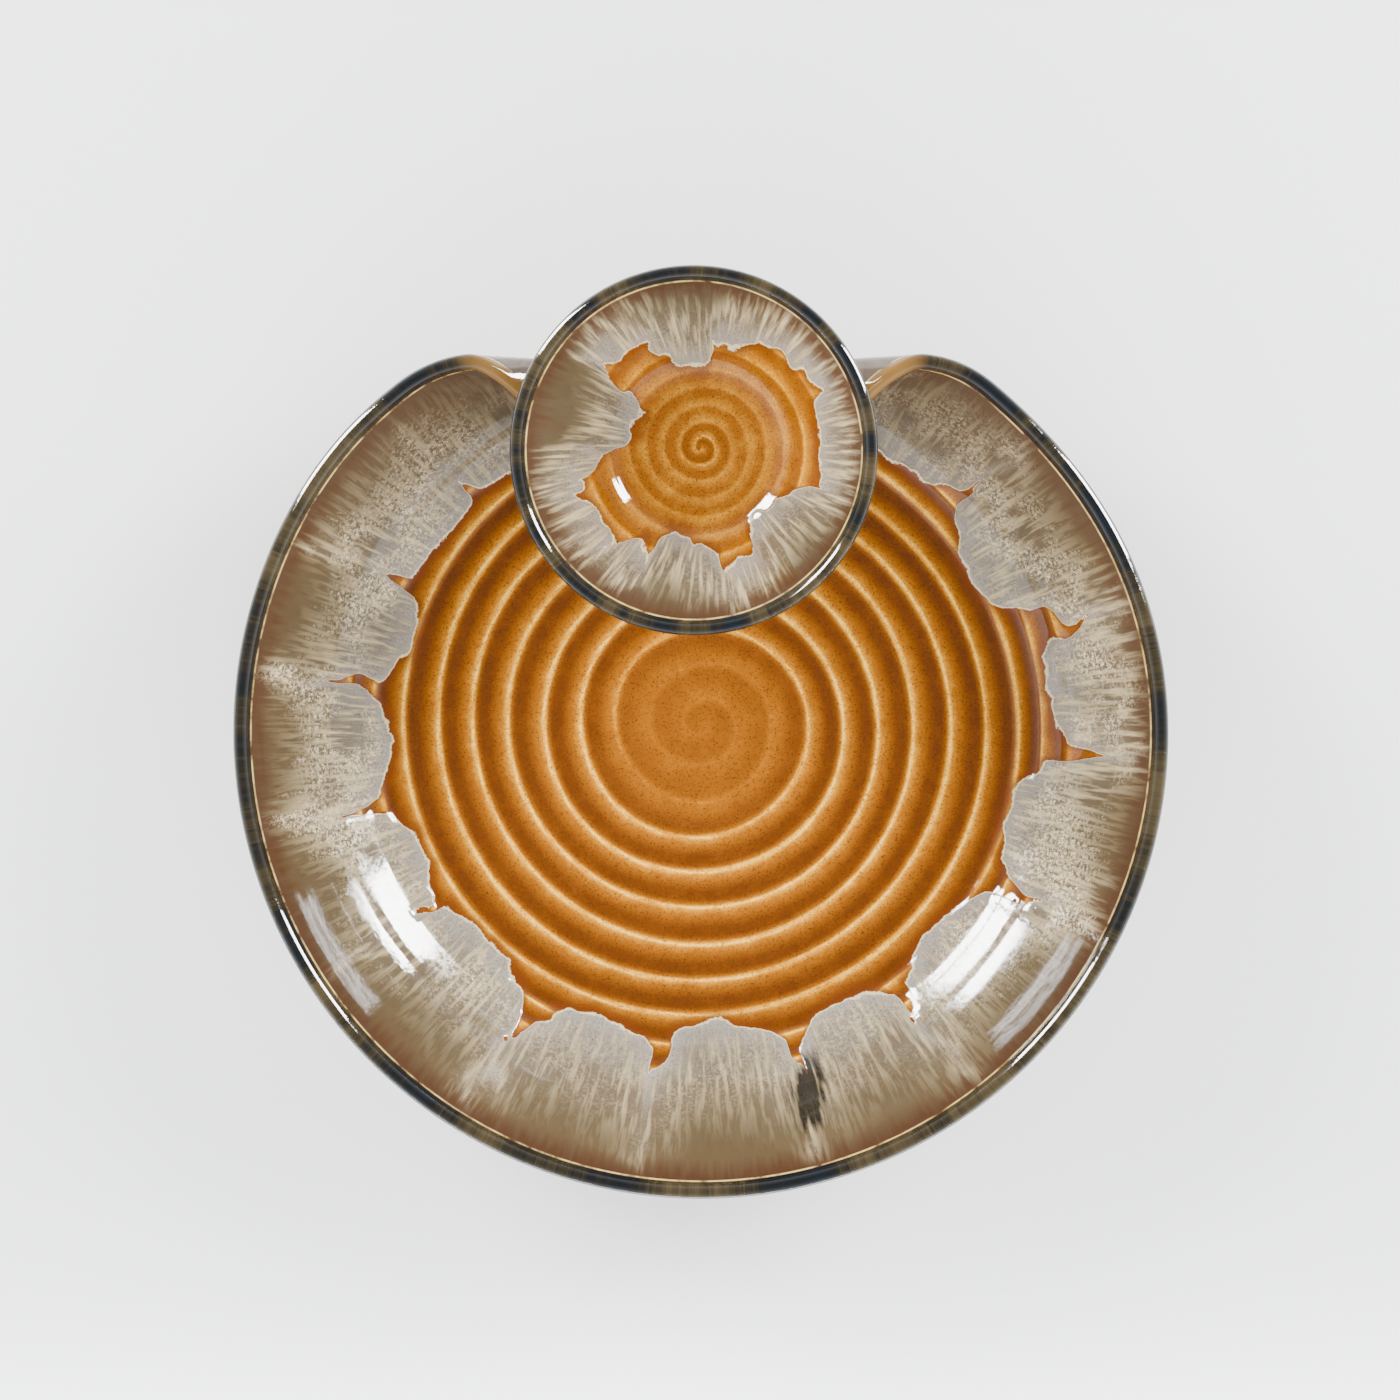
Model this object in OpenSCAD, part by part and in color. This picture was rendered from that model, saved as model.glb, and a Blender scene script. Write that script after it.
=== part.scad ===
// Chip and dip server: a thrown stoneware platter whose back wall is folded in to make a
// shelf, and a small thrown dip bowl luted on top of the shelf.
// The platter rests on its foot ring at z = 0, its axis is the Z axis, and +Y points to the bowl.

/* [Platter] */
// Outside diameter over the rim
platter_d = 331; // [300:1:360]
// Height of the rim above the table
platter_h = 57; // [50:1:64]
// Width of the wall seen from above, from the flat floor's edge to the rim's outside
platter_wall_run = 60.5; // [56:0.5:66]
// Radius of the curve between floor and wall
platter_knee_r = 39; // [32:1:46]
// Slope of the wall where the knee curve ends
platter_knee_slope = 42; // [38:1:46]
// Thickness of the floor
platter_floor_t = 7; // [6:0.5:9]
// Thickness of the wall
platter_wall_t = 5.4; // [4.6:0.2:6]
// How far the foot ring stands inside the flat floor's edge
platter_foot_in = 13; // [6:0.5:20]
// Width of the foot ring
platter_foot_w = 8; // [5:0.5:12]
// Height of the foot ring
platter_foot_h = 3.5; // [2.5:0.5:5]

/* [Fold] */
// How far the back wall is pushed in from the round rim
fold_in = 34.5; // [28:0.5:40]
// Sideways place of the fold's middle
fold_x = -2; // [-6:1:6]
// Half width over which the round wall turns into the straight one
fold_soft = 10; // [8:1:14]
// Size of the bend between the folded wall and the shelf
fold_bend = 5.5; // [5:0.5:8]
// How much wider the bend is where the rim turns into the fold
fold_bend_grow = 5; // [0:0.5:6]
// Depth of the shelf's middle surface below the rim's top, at the bowl's seat
shelf_drop = 24.6; // [21:0.2:28]
// Half width of the shelf's flat middle
shelf_flat_x = 29; // [28:1:32]
// Half width at which the rim leaves the shelf and is upright again
shelf_end_x = 72; // [66:1:80]
// Inward run of the shelf for each millimetre of wall height laid down
shelf_run = 1.74; // [1.5:0.02:2]
// How far the left lobe is drawn in beside the fold
lobe_pull_left = 2.5; // [0:0.5:5]
// How far the right lobe is drawn in beside the fold
lobe_pull_right = 4.5; // [0:0.5:6]

/* [Dip bowl] */
// Outside diameter over the rim
bowl_d = 128.6; // [116:1:134]
// Height of the bowl from its foot to its rim
bowl_h = 45; // [38:1:52]
// Width of the wall seen from above, from the flat floor's edge to the rim's outside
bowl_wall_run = 44.3; // [41:0.1:47]
// Radius of the curve between floor and wall
bowl_knee_r = 23; // [19:1:27]
// Slope of the wall where the knee curve ends
bowl_knee_slope = 44; // [40:1:48]
// Thickness of floor and wall
bowl_wall_t = 4.6; // [4:0.2:5.4]
// Diameter of the foot
bowl_foot_d = 44; // [38:1:46]
// Width of the foot ring
bowl_foot_w = 6; // [4:0.5:8]
// Height of the foot ring
bowl_foot_h = 3.4; // [2.6:0.2:4.6]
// Place of the foot's middle to the right of the axis
bowl_x = 1; // [-3:0.5:4]
// Distance of the foot's middle in front of the folded wall
bowl_back = 30; // [28:0.5:33]
// Lean of the bowl to the left, in degrees
bowl_lean_left = 5; // [0:0.5:7]
// Lean of the bowl to the front, in degrees
bowl_lean_front = 4.5; // [0:0.5:6]

/* [Luting seam] */
// Thickness of the slip layer under the bowl's foot
seam_t = 0.8; // [0.4:0.1:1.4]
// Width of the clay bead outside the foot
seam_bead_w = 3.2; // [1.5:0.1:3.6]
// Height of the foot that the clay bead leaves bare above it
seam_reveal = 0.6; // [0.4:0.1:1.2]
// Distance that the seam keeps from the shelf's rounded edge
seam_edge_gap = 1; // [0.5:0.1:2]

/* [Quality] */
// Steps round the platter
platter_steps = 136; // [96:8:136]
// Steps in the upper wall
wall_steps = 13; // [8:1:13]

/* [Hidden] */

// Small distance that closes and overlaps cutting shapes
slack = 1;
// Step of the finite differences that give the sheet's normals
probe_r = 0.05;
probe_a = 0.05;

// Middle surface of the platter's sheet: floor, knee curve, wall curve
platter_floor_r = platter_d / 2 - platter_wall_run;
mid_floor_z = platter_foot_h + platter_floor_t / 2;
half_wall = platter_wall_t / 2;
rim_r = platter_d / 2 - half_wall;
rim_z = platter_h - half_wall;
knee_end_r = platter_floor_r + platter_knee_r * sin(platter_knee_slope);
knee_end_z = mid_floor_z + platter_knee_r * (1 - cos(platter_knee_slope));
wall_r = rim_r - knee_end_r;
// The wall leaves the knee at the knee's slope and bends just enough to reach the rim
wall_bend = (rim_z - knee_end_z - wall_r * tan(platter_knee_slope)) / pow(wall_r, 2);

// Places that follow the platter's size
fold_y = platter_d / 2 - fold_in;
shelf_z = platter_h - shelf_drop;
bowl_y = fold_y - bowl_back;

// The lobes are drawn in at these bearings, within these spreads, in degrees
lobe_left_at = 125;
lobe_left_spread = 9;
lobe_right_at = 50;
lobe_right_spread = 18;

// The seat for the bowl is a leaning plane: its rise to the right and to the back
seat_rise_x = tan(bowl_lean_left);
seat_rise_y = tan(bowl_lean_front) / cos(bowl_lean_left);
seat_stretch = norm([seat_rise_x, seat_rise_y, 1]);
seat_z = shelf_z + half_wall * seat_stretch;
// The lean fades out between these half widths
lean_full_x = 44;
lean_none_x = 80;
// Climb of the shelf from its flat middle to the upright rim
shelf_climb = rim_z - shelf_z + 2.2;
shelf_climb_power = 1.5;

function clamp01(t) = max(0, min(1, t));
function ease(t) = let (k = clamp01(t)) k * k * (3 - 2 * k);
// 0 below -w, a parabola between -w and w, the number itself above w
function soft_plus(t, w) = t <= -w ? 0 : t >= w ? t : (t + w) * (t + w) / (4 * w);
function bell(a, at, spread) = exp(-(a - at) * (a - at) / (2 * spread * spread));

// Height of the middle surface of the thrown, still round, platter
function thrown_z(r) =
    r <= platter_floor_r ? mid_floor_z
    : r <= knee_end_r
    ? mid_floor_z + platter_knee_r - sqrt(pow(platter_knee_r, 2) - pow(r - platter_floor_r, 2))
    : let (t = r - knee_end_r) knee_end_z + t * tan(platter_knee_slope) + wall_bend * t * t;

// Radial draw of the lobes, which grows with the cube of the radius
function lobe_pull(a, r) =
    pow(r / rim_r, 3) * (lobe_pull_left * bell(a, lobe_left_at, lobe_left_spread)
    + lobe_pull_right * bell(a, lobe_right_at, lobe_right_spread));

// Share of the way from the shelf's flat middle to the upright rim, at the place x
function shelf_out(x) = max(0, abs(x - fold_x) - shelf_flat_x) / (shelf_end_x - shelf_flat_x);

// Height to which the folded wall stands before it turns in
function shelf_top(x) = shelf_z + shelf_climb * pow(shelf_out(x), shelf_climb_power);

function bend_size(x) = fold_bend + fold_bend_grow * clamp01(shelf_out(x));

function lean_weight(x) = 1 - ease((abs(x - fold_x) - lean_full_x) / (lean_none_x - lean_full_x));

// The fold: the wall behind fold_y stands upright, and what is higher than the shelf is laid
// inward and then leant with the bowl's seat
function fold(p) =
    p[1] <= 0 ? p
    : let (
        upright_y = p[1] - soft_plus(p[1] - fold_y, fold_soft),
        over = p[2] - shelf_top(p[0]),
        bend = bend_size(p[0]),
        laid = soft_plus(over, bend),
        y = upright_y - shelf_run * laid,
        laid_share = clamp01((over + bend) / (2 * bend)),
        lean = seat_rise_x * (p[0] - bowl_x) + seat_rise_y * (y - bowl_y)
    ) [p[0], y, p[2] - laid + lean * laid_share * lean_weight(p[0])];

function mid(a, r) =
    let (q = r - lobe_pull(a, r))
    fold([q * cos(a), q * sin(a), thrown_z(r)]);

function unit(v) = v / norm(v);
function along(a, r) = unit(mid(a, r) - mid(a, r - probe_r));
function across(a, r) = unit(mid(a + probe_a, r) - mid(a - probe_a, r));
function up_normal(a, r) = unit(cross(along(a, r), across(a, r)));

// Half the sheet's thickness: the floor's in the middle, the wall's from the knee outward
function half_t(r) =
    let (k = ease((r - platter_floor_r) / (knee_end_r - platter_floor_r)))
    platter_floor_t / 2 * (1 - k) + half_wall * k;

// Bearings of the points in a ring: they start at the front and crowd towards the fold
fold_at = 90;
crowding = 30;
function even(i) = fold_at - 180 + i * 360 / platter_steps;
bearings = [for (i = [0 : platter_steps - 1]) even(i) - crowding * sin(even(i) - fold_at)];

// One ring of points on the upper (side = 1) or lower (side = -1) face of the sheet
function face_ring(r, side) = [for (a = bearings) mid(a, r) + side * half_t(r) * up_normal(a, r)];

// One ring of points on the half-round lip, turned from the upper face by the angle t
function lip_ring(t) =
    [for (a = bearings)
        mid(a, rim_r) + half_wall * (cos(t) * up_normal(a, rim_r) + sin(t) * along(a, rim_r))];

function flat_ring(r, z) = [for (a = bearings) [r * cos(a), r * sin(a), z]];

knee_steps = 5;
lip_steps = 4;
knee_radii = [for (i = [1 : knee_steps])
    platter_floor_r + (knee_end_r - platter_floor_r) * i / knee_steps];
wall_radii = [for (i = [1 : wall_steps]) knee_end_r + (rim_r - knee_end_r) * i / wall_steps];
sheet_radii = concat([platter_floor_r], knee_radii, wall_radii);
last_ring = len(sheet_radii) - 1;

foot_out_r = platter_floor_r - platter_foot_in;
foot_in_r = foot_out_r - platter_foot_w;
foot_draft = 1;

// Rings in order: centre of the floor outward, over the lip, back underneath, and the foot ring
platter_rings = concat(
    [for (r = sheet_radii) face_ring(r, 1)],
    [for (k = [1 : lip_steps - 1]) lip_ring(180 * k / lip_steps)],
    [for (i = [0 : last_ring]) face_ring(sheet_radii[last_ring - i], -1)],
    [
        flat_ring(foot_out_r + foot_draft, platter_foot_h),
        flat_ring(foot_out_r, 0),
        flat_ring(foot_in_r, 0),
        flat_ring(foot_in_r - foot_draft, platter_foot_h),
    ]
);

// A closed body from a list of rings, capped flat at the first and the last ring.
// Each four-sided patch is halved along the diagonal that runs with the fold on its side.
module ring_body(rings) {
    n = len(rings[0]);
    m = len(rings);
    points = [for (ring = rings) each ring];
    sides = [for (j = [0 : m - 2], i = [0 : n - 1])
        let (k = (i + 1) % n, a = j * n + i, b = j * n + k, c = b + n, d = a + n)
        each i < n / 2 ? [[a, b, c], [a, c, d]] : [[a, b, d], [b, c, d]]];
    first_cap = [[for (i = [0 : n - 1]) n - 1 - i]];
    last_cap = [[for (i = [0 : n - 1]) (m - 1) * n + i]];
    polyhedron(points = points, faces = concat(first_cap, sides, last_cap), convexity = 6);
}

module chip_platter() {
    color("peru") ring_body(platter_rings);
}

// Middle line of the dip bowl's wall, in the same way as the platter's
bowl_half_t = bowl_wall_t / 2;
bowl_floor_r = bowl_d / 2 - bowl_wall_run;
bowl_mid_z = bowl_foot_h + bowl_half_t;
bowl_rim_r = bowl_d / 2 - bowl_half_t;
bowl_rim_z = bowl_h - bowl_half_t;
bowl_knee_end = [
    bowl_floor_r + bowl_knee_r * sin(bowl_knee_slope),
    bowl_mid_z + bowl_knee_r * (1 - cos(bowl_knee_slope)),
];
bowl_wall_r = bowl_rim_r - bowl_knee_end[0];
bowl_wall_rise = bowl_rim_z - bowl_knee_end[1];
bowl_bend = (bowl_wall_rise - bowl_wall_r * tan(bowl_knee_slope)) / pow(bowl_wall_r, 2);
bowl_rim_slope = atan(tan(bowl_knee_slope) + 2 * bowl_bend * bowl_wall_r);
bowl_knee_axis = [bowl_floor_r, bowl_mid_z + bowl_knee_r];
bowl_fn = 96;
arc_step = 5;
bowl_wall_steps = 6;

function arc(centre, r, from, to) =
    let (n = max(2, ceil(abs(to - from) / arc_step)))
    [for (i = [0 : n]) let (s = from + (to - from) * i / n) centre + r * [sin(s), -cos(s)]];

// Point of the wall's face at the share k of its run, inside (side = 1) or outside (side = -1)
function bowl_face(k, side) =
    let (
        t = bowl_wall_r * k,
        slope = atan(tan(bowl_knee_slope) + 2 * bowl_bend * t)
    ) bowl_knee_end + [t, t * tan(bowl_knee_slope) + bowl_bend * t * t]
        + side * bowl_half_t * [-sin(slope), cos(slope)];

// A foot that is wider than the flat floor meets the knee curve at this slope
bowl_foot_r = bowl_foot_d / 2;
bowl_foot_meets = asin(max(0, bowl_foot_r - bowl_floor_r) / (bowl_knee_r + bowl_half_t));

// Outline of the wall, right of the axis: inside line outward, over the lip, outside line back
bowl_outline = concat(
    [[0, bowl_mid_z + bowl_half_t]],
    arc(bowl_knee_axis, bowl_knee_r - bowl_half_t, 0, bowl_knee_slope),
    [for (i = [1 : bowl_wall_steps - 1]) bowl_face(i / bowl_wall_steps, 1)],
    arc([bowl_rim_r, bowl_rim_z], bowl_half_t, bowl_rim_slope + 180, bowl_rim_slope),
    [for (i = [1 : bowl_wall_steps - 1]) bowl_face(1 - i / bowl_wall_steps, -1)],
    arc(bowl_knee_axis, bowl_knee_r + bowl_half_t, bowl_knee_slope, bowl_foot_meets),
    bowl_foot_r < bowl_floor_r ? [[bowl_foot_r, bowl_foot_h]] : [],
    [
        [bowl_foot_r, 0],
        [bowl_foot_r - bowl_foot_w, 0],
        [bowl_foot_r - bowl_foot_w, bowl_foot_h],
        [0, bowl_foot_h],
    ]
);

// Puts a shape that is drawn round Z onto the shelf's leaning seat
module on_seat() {
    translate([bowl_x, bowl_y, seat_z]) rotate([bowl_lean_front, -bowl_lean_left, 0]) children();
}

module dip_bowl() {
    color("rosybrown") on_seat() translate([0, 0, seam_t])
        rotate_extrude($fn = bowl_fn) polygon(bowl_outline);
}

// The seam lies only where the shelf is under it, behind this line in the seat's own plane
shelf_edge_y = fold_y - shelf_run * (rim_z - shelf_z);
seam_front = shelf_edge_y + seam_edge_gap - bowl_y;
seam_r = bowl_foot_r + seam_bead_w;
seam_in_r = bowl_foot_r - bowl_foot_w;
seam_h = seam_t + bowl_foot_h - seam_reveal;

module luting_seam() {
    color("tan") on_seat() intersection() {
        rotate_extrude($fn = bowl_fn) polygon([
            [seam_in_r, 0],
            [seam_r, 0],
            [bowl_foot_r, seam_h],
            [bowl_foot_r, seam_t],
            [seam_in_r, seam_t],
        ]);
        translate([-seam_r - slack, seam_front, -slack])
            cube([2 * (seam_r + slack), seam_r - seam_front + slack, seam_h + 2 * slack]);
    }
}

chip_platter();
dip_bowl();
luting_seam();
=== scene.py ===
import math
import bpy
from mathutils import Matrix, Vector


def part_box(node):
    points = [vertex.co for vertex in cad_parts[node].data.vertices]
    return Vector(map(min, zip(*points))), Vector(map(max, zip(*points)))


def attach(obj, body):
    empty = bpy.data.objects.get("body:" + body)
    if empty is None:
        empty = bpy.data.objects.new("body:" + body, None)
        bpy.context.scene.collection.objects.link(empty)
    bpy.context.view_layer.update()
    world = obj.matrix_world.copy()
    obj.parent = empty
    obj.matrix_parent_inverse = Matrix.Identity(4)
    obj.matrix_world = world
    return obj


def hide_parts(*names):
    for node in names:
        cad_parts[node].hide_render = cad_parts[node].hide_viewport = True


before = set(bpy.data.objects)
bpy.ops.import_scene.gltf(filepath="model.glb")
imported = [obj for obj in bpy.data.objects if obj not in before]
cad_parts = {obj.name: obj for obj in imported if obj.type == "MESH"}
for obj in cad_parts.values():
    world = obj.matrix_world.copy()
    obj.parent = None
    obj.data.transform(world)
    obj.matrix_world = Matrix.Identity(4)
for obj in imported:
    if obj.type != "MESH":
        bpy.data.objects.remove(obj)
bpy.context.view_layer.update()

# %% [markdown]
# # A chip and dip server in glazed stoneware
# The real piece is two thrown pots. A wide platter has its back wall pushed in while the clay is
# soft, which leaves a straight crease, a shelf behind it and a rounded lobe on each side. A small
# dip bowl is luted to the shelf with a bead of clay. The whole piece is dipped in an amber iron
# glaze, and its rims are dipped again in a grey glaze that runs down in tongues.
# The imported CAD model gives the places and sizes, and this lesson makes the finished surface.

# %% Tools and units
from types import SimpleNamespace

import bmesh
import bpy
import numpy as np
from mathutils import Matrix, Vector

MM = 0.001

platter_low, platter_high = [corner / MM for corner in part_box("chip_platter")]
bowl_low, bowl_high = [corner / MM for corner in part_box("dip_bowl")]
print("CAD box of the platter, mm:", platter_low[:], platter_high[:])
print("CAD box of the bowl, mm:", bowl_low[:], bowl_high[:])

# %% [markdown]
# ## Soft steps
# Clay has no sharp corners, so every change of shape here goes through one of these curves:
# an S-shaped step, a ramp whose corner is rounded off, and a bell.

# %% Curves that the pot's shape uses


def ease(t):
    t = np.clip(t, 0.0, 1.0)
    return t * t * (3 - 2 * t)


def soft_plus(t, half_width):
    """0 below -half_width, t above half_width, and a parabola between them."""
    inside = (t + half_width) ** 2 / (4 * half_width)
    return np.where(t <= -half_width, 0.0, np.where(t >= half_width, t, inside))


def bell(t, at, spread):
    return np.exp(-((t - at) ** 2) / (2 * spread ** 2))


def wander(x, y, size, seed):
    """Smooth random values in -1..1 that change over this many mm."""
    lattice = np.random.default_rng(seed).uniform(-1, 1, (64, 64))
    u, v = x / size + 32, y / size + 32
    i, j = np.floor(u).astype(int), np.floor(v).astype(int)
    s, t = ease(u - i), ease(v - j)
    low = lattice[i % 64, j % 64] * (1 - s) + lattice[(i + 1) % 64, j % 64] * s
    high = lattice[i % 64, (j + 1) % 64] * (1 - s) + lattice[(i + 1) % 64, (j + 1) % 64] * s
    return low * (1 - t) + high * t


# %% [markdown]
# ## The platter's wall as a bent sheet
# A thrown wall is a sheet of clay of nearly constant thickness. Its middle line is a flat floor, a
# knee curve and a long, slightly curved wall. Each point of the pot is then a distance out along
# that line (its reach) and a distance off it (half the thickness, plus ridges and glaze).
# Keeping those two numbers with each point lets the fold bend the sheet without thinning it.

# %% Sizes of the platter's sheet, in mm
WALL_T = 5.4
FLOOR_T = 7.0
FOOT_H = 3.5
FOOT_OUT = 92.0
FOOT_IN = 84.0
FLOOR_R = 105.0
KNEE_R = 39.0
KNEE_SLOPE = math.radians(42)
half_wall = WALL_T / 2
floor_mid_z = FOOT_H + FLOOR_T / 2
rim_r = -platter_low.y - half_wall
rim_z = platter_high.z - half_wall
knee_end_r = FLOOR_R + KNEE_R * math.sin(KNEE_SLOPE)
knee_end_z = floor_mid_z + KNEE_R * (1 - math.cos(KNEE_SLOPE))
wall_run = rim_r - knee_end_r
wall_bend = (rim_z - knee_end_z - wall_run * math.tan(KNEE_SLOPE)) / wall_run ** 2
rim_slope = math.atan(math.tan(KNEE_SLOPE) + 2 * wall_bend * wall_run)


def thrown_height(reach):
    """Height of the sheet's middle line before the wall is folded."""
    out = np.clip(reach - FLOOR_R, 0, KNEE_R * math.sin(KNEE_SLOPE))
    knee = floor_mid_z + KNEE_R - np.sqrt(KNEE_R ** 2 - out ** 2)
    past = reach - knee_end_r
    wall = knee_end_z + past * math.tan(KNEE_SLOPE) + wall_bend * past ** 2
    return np.where(reach <= knee_end_r, knee, wall)


def half_thickness(reach):
    share = ease((reach - FLOOR_R) / (knee_end_r - FLOOR_R))
    return FLOOR_T / 2 * (1 - share) + half_wall * share


print("rim of the middle sheet at r, z:", round(rim_r, 2), round(rim_z, 2))

# %% [markdown]
# ## The fold
# The potter pushes the back wall against an upright plane and lays what stands too high inward,
# as a shelf. The shelf is flat in its middle, where the bowl sits, and climbs to both lobes. The
# bowl's weight leans it a little to the front and to the left. These are the same rules that the
# CAD solid follows, so the finished surface lies on it.

# %% The fold as a rule for any point of the sheet
fold_y = platter_high.y - half_wall
FOLD_X = -2.0
FOLD_SOFT = 10.0
BEND = 5.5
BEND_GROW = 5.0
SHELF_Z = 32.4
SHELF_FLAT = 29.0
SHELF_END = 72.0
SHELF_FADE = 14.0
SHELF_RUN = 1.74
SEAT_X, SEAT_Y = 1.0, fold_y - 30.0
LEAN_LEFT = math.radians(5)
LEAN_FRONT = math.radians(4.5)
seat_rise_x = math.tan(LEAN_LEFT)
seat_rise_y = math.tan(LEAN_FRONT) / math.cos(LEAN_LEFT)
seat_z = SHELF_Z + half_wall * math.hypot(1, seat_rise_x, seat_rise_y)
LEAN_FULL, LEAN_NONE = 44.0, 80.0
CLIMB = rim_z - SHELF_Z + 2.2
CLIMB_POWER = 1.5


def fold_middle(bearing, reach):
    """Folded place of the sheet's middle, in mm, for bearings in degrees."""
    drawn_in = 2.5 * bell(bearing, 125, 9) + 4.5 * bell(bearing, 50, 18)
    r = reach - drawn_in * (reach / rim_r) ** 3
    x = r * np.cos(np.radians(bearing))
    y = r * np.sin(np.radians(bearing))
    z = thrown_height(reach)
    share_out = np.maximum(0, np.abs(x - FOLD_X) - SHELF_FLAT) / (SHELF_END - SHELF_FLAT)
    over = z - (SHELF_Z + CLIMB * share_out ** CLIMB_POWER)
    bend = BEND + BEND_GROW * np.clip(share_out, 0, 1)
    laid = soft_plus(over, bend)
    upright_y = y - soft_plus(y - fold_y, FOLD_SOFT)
    folded_y = upright_y - SHELF_RUN * laid
    share = np.clip((over + bend) / (2 * bend), 0, 1)
    fade = 1 - ease((np.abs(x - FOLD_X) - LEAN_FULL) / (LEAN_NONE - LEAN_FULL))
    lean = (seat_rise_x * (x - SEAT_X) + seat_rise_y * (folded_y - SEAT_Y)) * share * fade
    behind = y > 0
    return np.stack([x, np.where(behind, folded_y, y), np.where(behind, z - laid + lean, z)], -1)


def unit(v):
    return v / np.maximum(np.linalg.norm(v, axis=-1, keepdims=True), 1e-12)


def fold_sheet(bearing, reach, off, over):
    """Folded place of points that lie off the middle sheet, or over its end round the lip."""
    step = 0.05
    near = np.maximum(reach, 1.0)
    outward = unit(fold_middle(bearing, near) - fold_middle(bearing, near - step))
    around = unit(fold_middle(bearing + step, near) - fold_middle(bearing - step, near))
    upward = unit(np.cross(outward, around))
    return fold_middle(bearing, reach) + off[:, None] * upward + over[:, None] * outward


# %% [markdown]
# ## Throwing ridges
# The fingers travel out over the turning clay, so they leave one long spiral. Seen along a radius
# each turn rises steeply to a sharp crest and falls away slowly outward. Out to the foot of the
# platter's wall the turns are an even 13 mm apart, and up the wall they close up to 9.4 mm. In the
# bowl they start about 5 mm apart and widen steadily. Both pots ran a little off centre, which
# shifts the whole spiral sideways.

# %% The spiral of ridges
FLOOR_PITCH = 13.0
WALL_PITCH = 9.4
FLOOR_TURNS = 9
PLATTER_TURNS = 14
BOWL_PITCH = 5.0
BOWL_WIDENING = 0.25
BOWL_TURNS = 9
PLATTER_OFF_CENTRE = 2.5
BOWL_OFF_CENTRE = 0.8
OFF_CENTRE_BEARING = 75
PLATTER_CRESTS = [FLOOR_PITCH * min(turn, FLOOR_TURNS) + WALL_PITCH * max(0, turn - FLOOR_TURNS)
                  for turn in range(PLATTER_TURNS + 1)]
BOWL_CRESTS = [BOWL_PITCH * turn + BOWL_WIDENING * turn ** 2 for turn in range(BOWL_TURNS + 1)]


def ridge_height(bearing, reach, crests, off_centre, towards):
    """0 in a valley and 1 on a crest, for a spiral that runs inward with the bearing."""
    shift = np.cos(np.radians(bearing - towards)) - math.cos(math.radians(towards))
    turn = np.interp(reach - off_centre * shift, crests, np.arange(len(crests))) + bearing / 360
    wobble = 0.03 * np.sin(np.radians(3 * bearing) + reach / 9)
    past = (turn + wobble) % 1.0
    rise = ease((past - 0.74) / 0.26) ** 1.3
    fall = 0.45 * np.exp(-past / 0.07) + 0.55 * (1 - ease((past - 0.16) / 0.42))
    return np.where(past < 0.74, fall, np.maximum(rise, fall))


# %% [markdown]
# ## Tongues of grey glaze
# Grey glaze dipped over amber glaze melts and runs down the wall in tongues. Between two tongues
# the amber cuts back to the rim in a narrow spike. The lists were read and rounded: where
# each tongue ends and where each spike reaches, as a bearing in degrees and a radius in mm. The
# platter's tongues behind the bowl, between bearings of 60 and 135 degrees, are made up.

# %% Where the two glazes meet
PLATTER_TONGUES = [
    (8, 128), (17, 150), (29, 115), (42, 141), (53, 124), (61, 132), (72, 116), (82, 128),
    (95, 114), (108, 128), (122, 118), (135, 129), (143, 117), (154, 132), (162, 109), (173, 139),
    (183, 113), (193, 139), (203, 110), (212, 127), (227, 109), (238, 143), (249, 111), (262, 131),
    (273, 106), (286, 135), (298, 111), (307, 137), (321, 111), (334, 143), (346, 116), (356, 149),
]
BOWL_TONGUES = [
    (5, 44), (25, 50), (42, 47), (57, 46.5), (79, 39), (92, 31.5), (107, 36), (114, 43),
    (126, 44), (141, 45), (149, 26), (162, 25), (174, 26), (180, 36), (190, 43.5), (197, 49),
    (212, 43.5), (225, 44.5), (230, 48), (235, 40), (243, 45), (250, 31), (265, 33.5), (278, 38),
    (282, 45), (300, 43), (314, 31.5), (334, 36.5), (343, 48),
]


def meeting_radius(bearing, tongues, spike):
    """Radius where grey meets amber: full round tongues, with spikes this many mm deep between."""
    angles = np.array([a for a, _ in tongues] + [tongues[0][0] + 360], float)
    radii = np.array([r for _, r in tongues] + [tongues[0][1]], float)
    turned = (bearing - angles[0]) % 360 + angles[0]
    k = np.clip(np.searchsorted(angles, turned, side="right") - 1, 0, len(tongues) - 1)
    t = (turned - angles[k]) / (angles[k + 1] - angles[k])
    start, end = radii[k], radii[k + 1]
    from_spike = np.where(start > end, t, 1 - t)
    high, low = np.maximum(start, end), np.minimum(start, end)
    shoulder = high - spike * np.clip((high - low) / 25, 0, 1)
    around = shoulder + (low - shoulder) * (1 - (1 - from_spike) ** 2) ** 0.62
    return around + (high - shoulder) * np.clip(1 - from_spike / 0.13, 0, 1)


# %% [markdown]
# ## Spinning a pot
# A potter's wheel and Blender's spin do the same thing: one section, turned round an axis. The
# section's points carry their own numbers (reach, off, over) as vertex layers, and spin copies
# those layers to every step, so the finished mesh still knows where each point sits on the sheet.

# %% A section becomes a closed pot
SHEET_NUMBERS = ("reach", "off", "over")


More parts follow.
